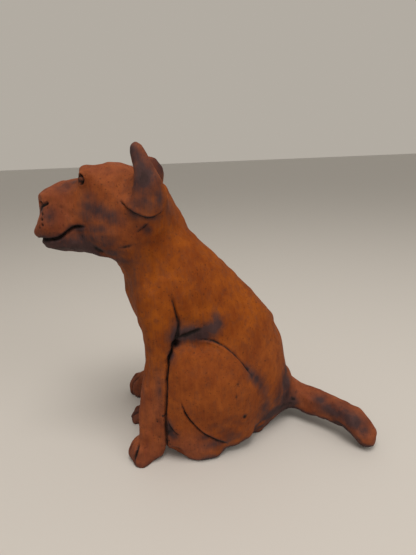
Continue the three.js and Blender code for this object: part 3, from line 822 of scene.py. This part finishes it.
# Where the dog is fuller or flatter than the solid: a place, which way the clay is pushed there,
# how far round, and by how much. Those of the face are made on both sides
FACE_PUSHES = (
    ((0, -34, 270), (0, 1, 0), 15, 2.4),
    ((9, -30, 266), (0, 0.7, -0.7), 9, 1.6),
    ((6, -38, 260), (0, 0, 1), 9, 1.4),
    ((12, -25, 272), (0, -0.3, 0.9), 10, 2.3),
    ((0, -60, 258), (0, 0.5, -0.85), 13, 1.2),
    ((9, -67, 245), (0, 1, 0), 10, 3.0),
    ((7, -69, 220.5), (0, -1, 0), 9, 2.7),
    ((6, -48, 259), (0, 0.3, -0.9), 9, 1.0),
    ((17.5, -30, 265), (0, 1, 0), 9, 1.8),
    ((15, -61, 235), (1, -0.3, 0), 9, 1.4),
    ((22, -36, 226), (1, 0, 0), 12, 1.0),
    ((34, 22, 287), (0, 0, 1), 9, 1.8),
    ((8, 0, 277), (0, 0, 1), 10, -1.1),
    ((4, -14, 276), (0, 0, 1), 9, -0.9),
)
BODY_PUSHES = (
    ((4, 40, 254), (0, 0.8, 0.6), 8, 1.6),
    ((2, 54, 227), (0, 0.9, 0.4), 14, 1.6),
    ((-1, 92, 180), (0, 0.7, 0.7), 9, 1.2),
    ((-4, 116, 154), (0, 0.7, 0.7), 10, -1.3),
    ((11, 143, 109), (0.3, 0.9, 0.3), 11, -1.6),
    ((0, -2, 172), (0.2, -1, 0), 10, -1.2),
    ((22, 6, 138), (0, -1, 0), 9, 1.2),
    ((15, 180, 36), (-0.1, 0.3, 0.9), 9, -1.3),
    ((27, 190, 33), (-0.3, 0.5, 0.8), 8, 1.1),
    ((9, -19, 200), (0.2, -0.2, -0.9), 10, 1.2),
    ((-21, -6, 1), (0.5, -0.4, -0.8), 8, 1.3),
    ((-36, -6, 5), (-0.5, -0.7, 0.5), 7, -0.8),
    ((-79, -5, 1), (0.3, -0.8, -0.5), 9, 1.7),
    ((30, -15, 6), (0, -1, 0), 9, 1.3),
    ((42, 8, 2), (0.8, 0.4, -0.4), 9, -1.2),
    ((44, 29, 12), (0.7, -0.5, -0.5), 9, -1.7),
    ((49, 42, 2), (0.6, -0.5, -0.6), 9, 1.1),
    ((49, 90, 6), (0.4, 0.2, -0.9), 9, -1.2),
    ((6, 71, 203), (0.1, 0.7, 0.7), 11, -1.3),
    ((2, 101, 170), (0, 0.7, 0.7), 13, 1.6),
    ((3, 126, 140), (0, 0.7, 0.7), 20, -1.8),
    ((5, 142, 120), (0.2, 0.9, 0.4), 9, 1.2),
    ((21, 141, 108), (0.5, 0.8, 0.4), 10, -1.4),
    ((4, 162, 52), (0.2, 0.9, 0.4), 11, 1.8),
    ((65, 212, 31), (0, 0.7, 0.7), 10, 1.8),
    ((72, 215, 26), (0.1, 0.8, 0.6), 8, 0.9),
    ((82, 199, 7), (0.2, -0.9, -0.3), 15, -2.8),
    ((57, 194, 12), (0.3, -0.4, -0.9), 12, 1.7),
    ((32, 175, 11), (0.3, -0.4, -0.9), 11, 1.6),
    ((86, 214, 6), (0.7, 0.6, -0.3), 10, 1.8),
    ((53, 65, 2), (0.7, 0.2, -0.6), 10, 1.5),
    ((49, 101, 14), (0.6, 0.5, -0.6), 12, 2.0),
    ((48, 86, 8), (0.7, 0.1, -0.7), 12, 2.0),
    ((51, 54, 1), (0.8, 0, 0), 13, 2.6),
    ((47, 27, 10), (0.8, -0.6, 0), 12, -4.2),
    ((43, -3, 0), (1, 0, 0), 9, 3.0),
    ((41, 12, 2), (0.9, 0.3, 0), 8, -1.4),
    ((-25, -6, 2), (0.5, -0.8, 0), 12, 3.0),
    ((-80, -6, 11), (0, -1, 0), 15, 2.4),
    ((10, -2, 171), (0.3, -1, 0), 15, -2.2),
    ((-1, -4, 184), (0, -1, 0), 9, 1.2),
)


def shape_face(clay):
    """The pushes of the face. One on the middle line is made in two halves."""
    for side in (1, -1):
        for place, way, radius, amount in FACE_PUSHES:
            share = 0.5 if place[0] == 0 else 1
            start = head_place(mirrored(place, side))
            push(clay, start, head_way(mirrored(way, side)), radius, amount * share)
    clay.write()


def shape_body(clay):
    for place, way, radius, amount in BODY_PUSHES:
        push(clay, body_place(place), way, radius, amount)
    clay.write()


def mark_clay(clay):
    """All the lines and dents that were made in the clay once it had its form."""
    tree = clay.tree()
    for side in (1, -1):
        leg_flutes(clay, tree, side)
        leg_creases(clay, tree, side)
        thigh_creases(clay, tree, side)
        ear_creases(clay, tree, side)
        jaw_creases(clay, tree, side)
        mouth(clay, tree, side)
        nostril(clay, tree, side)
        whisker_holes(clay, tree, side)
        eye(clay, tree, side)
    folded_leg_creases(clay, tree)
    near_toes(clay, tree)
    for x, y, height in FAR_PAWS:
        toe_lines(clay, tree, x, y, height)
    dimples(clay, tree)


def near_marks(mesh):
    """Whether a place is near a line that will be drawn. The draft is marked and then thrown away."""
    draft = Clay(mesh)
    mark_clay(draft)
    space = KDTree(len(draft.drawn))
    for n, place in enumerate(draft.drawn):
        space.insert(place, n)
    space.balance()
    return lambda place: space.find(place)[2] < FINE_REACH


def model_dog():
    """The whole dog as one mesh, with the attributes that its material reads."""
    mesh = clay_skin("dog")
    clay = Clay(mesh)
    clay.soften(12)
    uneven(clay)
    marked = near_marks(mesh)
    refine(mesh, lambda place: has_fine_work(place) or marked(place))
    clay.refresh()
    clay.soften(3)
    shape_face(clay)
    shape_body(clay)
    mark_clay(clay)
    clay.write()
    clay.soften(1)
    film_and_shade, stain_and_shade = stained_and_shaded(clay)
    # The film is oxide, with painted shade where the stain runs darkest; the stain holds oxide and painted
    # shade
    set_attribute(mesh, "oxide", film_and_shade)
    set_attribute(mesh, "stain_and_shade", stain_and_shade)
    set_attribute(mesh, "redness", reddened(clay))
    return mesh


# Materials

def linear(colour):
    """A colour given as sRGB hex, in the linear values that the shader works in."""
    channels = [int(colour[n:n + 2], 16) / 255 for n in (1, 3, 5)]
    return [*(c / 12.92 if c <= 0.04045 else ((c + 0.055) / 1.055) ** 2.4 for c in channels), 1.0]


def add_node(tree, kind, settings=None, **inputs):
    """A node of a kind, with its settings, its input values and the sockets that feed it.

    An input is given by its name, or by its number, as i0, where several inputs share one name.
    """
    node = tree.nodes.new(kind)
    for name, value in (settings or {}).items():
        setattr(node, name, value)
    for name, value in inputs.items():
        numbered = name[0] == "i" and name[1:].isdigit()
        socket = node.inputs[int(name[1:]) if numbered else name]
        if isinstance(value, bpy.types.NodeSocket):
            tree.links.new(value, socket)
        else:
            socket.default_value = value
    return node


# The setting of a mix that is one of colours
COLOURS = {"data_type": "RGBA"}
# What shows in the fired clay: how wide and how tall the spots of each pattern are, in millimetres,
# how much finer detail it has, and which of the noise's values become its 0 and its 1
PATTERNS = {
    "mottle": (22, 22, 3, 0.35, 0.65),
    "blotch": (6, 6, 3, 0.35, 0.65),
    "streak": (0.9, 14, 3, 0.3, 0.7),
    "broad_streak": (2.7, 42, 3, 0.35, 0.65),
    "grain": (0.5, 0.5, 2, 0.35, 0.65),
    "pit": (1.8, 1.8, 1, 0.64, 0.74),
}
# How strongly each pattern shades the clay, and towards which colour
SHADES = (
    ("blotch", 0.35, "#6a2f0c"),
    ("streak", 0.1, "#4a200d"),
    ("broad_streak", 0.12, "#b8681e"),
    ("pit", 0.5, "#35190e"),
)
# The two ends that each shade runs between from spot to spot, and the share of red where it is reddest
MOTTLED = {
    "ochre": ("#7b3808", "#934a0c"),
    "red": ("#783e2c", "#8e4f37"),
    # The stain's colour, and the oxide's below it, also colour the painted shade
    "stain_and_shade": ("#3a2728", "#4b3534"),
    "oxide": ("#191211", "#201817"),
}
REDDEST = 0.8
# How much each pattern breaks up the dark marks
BREAKS = (("streak", 0.18), ("broad_streak", 0.16), ("blotch", 0.2))
# The marks, one over the other, each holding painted shade as well as oxide: how much of each begins to
# show, and how much hides the clay
COVERS = (("stain_and_shade", 0.32, 1.3), ("oxide", 0.6, 1.3))
# How far each pattern stands out of the skin, or with a negative share sinks into it, the depth in
# millimetres that the shares are of, and how strongly it shades
RELIEF = (("grain", 0.3), ("streak", 0.4), ("pit", -0.6))
RELIEF_DEPTH = 0.25
RELIEF_STRENGTH = 0.6
# The bare clay is dull, the film of oxide a little less so, and neither shines much
ROUGH_CLAY = 0.72
ROUGH_OXIDE = 0.55
SHINE = 0.15


def fired_terracotta():
    """Fired terracotta, burnished with a brush and rubbed with iron oxide.

    It gives the eye a dull orange-ochre, redder in places, with fine upright strokes, and a purple-black
    film that stays in the creases and thins out in streaks beside them. The film and the stain also carry
    painted shade: on the undersides, in the wide hollows, towards the table and in some darker patches.
    """
    material = bpy.data.materials.new("fired_terracotta")
    material.use_nodes = True
    tree = material.node_tree
    shader = tree.nodes["Principled BSDF"]
    place = add_node(tree, "ShaderNodeTexCoord").outputs["Object"]
    to_mm = {"operation": "SCALE"}
    in_mm = add_node(tree, "ShaderNodeVectorMath", to_mm, i0=place, Scale=1 / MM).outputs[0]
    stretch = {"operation": "MULTIPLY"}
    times = {"operation": "MULTIPLY"}
    add_times = {"operation": "MULTIPLY_ADD"}

    patterns = {}
    for name, (wide, tall, detail, low, high) in PATTERNS.items():
        shrink = (1 / wide, 1 / wide, 1 / tall)
        scaled = add_node(tree, "ShaderNodeVectorMath", stretch, i0=in_mm, i1=shrink).outputs[0]
        cloud = add_node(tree, "ShaderNodeTexNoise", i0=scaled, Scale=1.0, Detail=detail).outputs[0]
        values = {"Value": cloud, "From Min": low, "From Max": high}
        patterns[name] = add_node(tree, "ShaderNodeMapRange", **values).outputs[0]

    marks = {}
    for name in ("oxide", "stain_and_shade", "redness"):
        marks[name] = add_node(tree, "ShaderNodeAttribute", {"attribute_name": name}).outputs["Fac"]
    shades = {}
    for name, (dark, light) in MOTTLED.items():
        ends = {"i0": patterns["mottle"], "i6": linear(dark), "i7": linear(light)}
        shades[name] = add_node(tree, "ShaderNodeMix", COLOURS, **ends).outputs[2]

    share = add_node(tree, "ShaderNodeMath", times, i0=marks["redness"], i1=REDDEST).outputs[0]
    ends = {"i0": share, "i6": shades["ochre"], "i7": shades["red"]}
    colour = add_node(tree, "ShaderNodeMix", COLOURS, **ends).outputs[2]
    for name, strength, shade in SHADES:
        share = add_node(tree, "ShaderNodeMath", times, i0=patterns[name], i1=strength).outputs[0]
        ends = {"i0": share, "i6": colour, "i7": linear(shade)}
        colour = add_node(tree, "ShaderNodeMix", COLOURS, **ends).outputs[2]

    cover = {}
    for mark, low, high in COVERS:
        amount = marks[mark]
        for name, strength in BREAKS:
            sums = {"i0": patterns[name], "i1": strength, "i2": amount}
            amount = add_node(tree, "ShaderNodeMath", add_times, **sums).outputs[0]
        values = {"Value": amount, "From Min": low, "From Max": high}
        cover[mark] = add_node(tree, "ShaderNodeMapRange", **values).outputs[0]
        ends = {"i0": cover[mark], "i6": colour, "i7": shades[mark]}
        colour = add_node(tree, "ShaderNodeMix", COLOURS, **ends).outputs[2]

    height = 0.0
    for name, share in RELIEF:
        sums = {"i0": patterns[name], "i1": share, "i2": height}
        height = add_node(tree, "ShaderNodeMath", add_times, **sums).outputs[0]
    depth = {"Strength": RELIEF_STRENGTH, "Distance": RELIEF_DEPTH * MM, "Height": height}
    bump = add_node(tree, "ShaderNodeBump", **depth)
    values = {"Value": cover["oxide"], "To Min": ROUGH_CLAY, "To Max": ROUGH_OXIDE}
    rough = add_node(tree, "ShaderNodeMapRange", **values)
    tree.links.new(colour, shader.inputs["Base Color"])
    tree.links.new(rough.outputs[0], shader.inputs["Roughness"])
    tree.links.new(bump.outputs[0], shader.inputs["Normal"])
    shader.inputs["Specular IOR Level"].default_value = SHINE
    return material


# The stage, whose lengths are in metres

FLOOR_SIZE = 40
FLOOR_COLOUR = "#cbc9c6"
FLOOR_ROUGHNESS = 0.7
LIGHT_ALL_ROUND = "#e0d8cc"
STRENGTH_ALL_ROUND = 0.6


def matt_paint():
    """Matt emulsion paint, rolled on. It gives the eye a plain pale ground with hardly any gloss."""
    paint = bpy.data.materials.new("matt_paint")
    paint.use_nodes = True
    shader = paint.node_tree.nodes["Principled BSDF"]
    shader.inputs["Base Color"].default_value = linear(FLOOR_COLOUR)
    shader.inputs["Roughness"].default_value = FLOOR_ROUGHNESS
    return paint


def lay_floor():
    bpy.ops.mesh.primitive_plane_add(size=FLOOR_SIZE, location=(0, 0, 0))
    floor = bpy.context.object
    floor.name = "floor"
    floor.data.materials.append(matt_paint())


def lamp(name, place, aim, size, power, colour):
    """A square lamp at a place, turned to what it is aimed at."""
    data = bpy.data.lights.new(name, "AREA")
    data.size = size
    data.energy = power
    data.color = linear(colour)[:3]
    light = bpy.data.objects.new(name, data)
    bpy.context.scene.collection.objects.link(light)
    light.location = place
    light.rotation_euler = (Vector(aim) - Vector(place)).to_track_quat("-Z", "Y").to_euler()


def light_stage():
    """Soft light from above and from the left, and a weaker warm light from all round."""
    bpy.context.scene.view_settings.view_transform = "Standard"
    world = bpy.data.worlds.new("all_round")
    world.use_nodes = True
    background = world.node_tree.nodes["Background"]
    background.inputs["Color"].default_value = linear(LIGHT_ALL_ROUND)
    background.inputs["Strength"].default_value = STRENGTH_ALL_ROUND
    bpy.context.scene.world = world
    lamp("above", place=(0.45, -0.1, 1.5), aim=(0, 0, 0.1), size=0.7, power=13, colour="#fff6ec")
    lamp("beside", place=(1.1, 0.8, 1.0), aim=(0, 0, 0.15), size=0.8, power=4.5, colour="#fff8f0")


mesh = model_dog()
dog = bpy.data.objects.new("dog_clay", mesh)
bpy.context.scene.collection.objects.link(dog)
mesh.materials.append(fired_terracotta())
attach(dog, "root")
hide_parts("dog")
lay_floor()
light_stage()
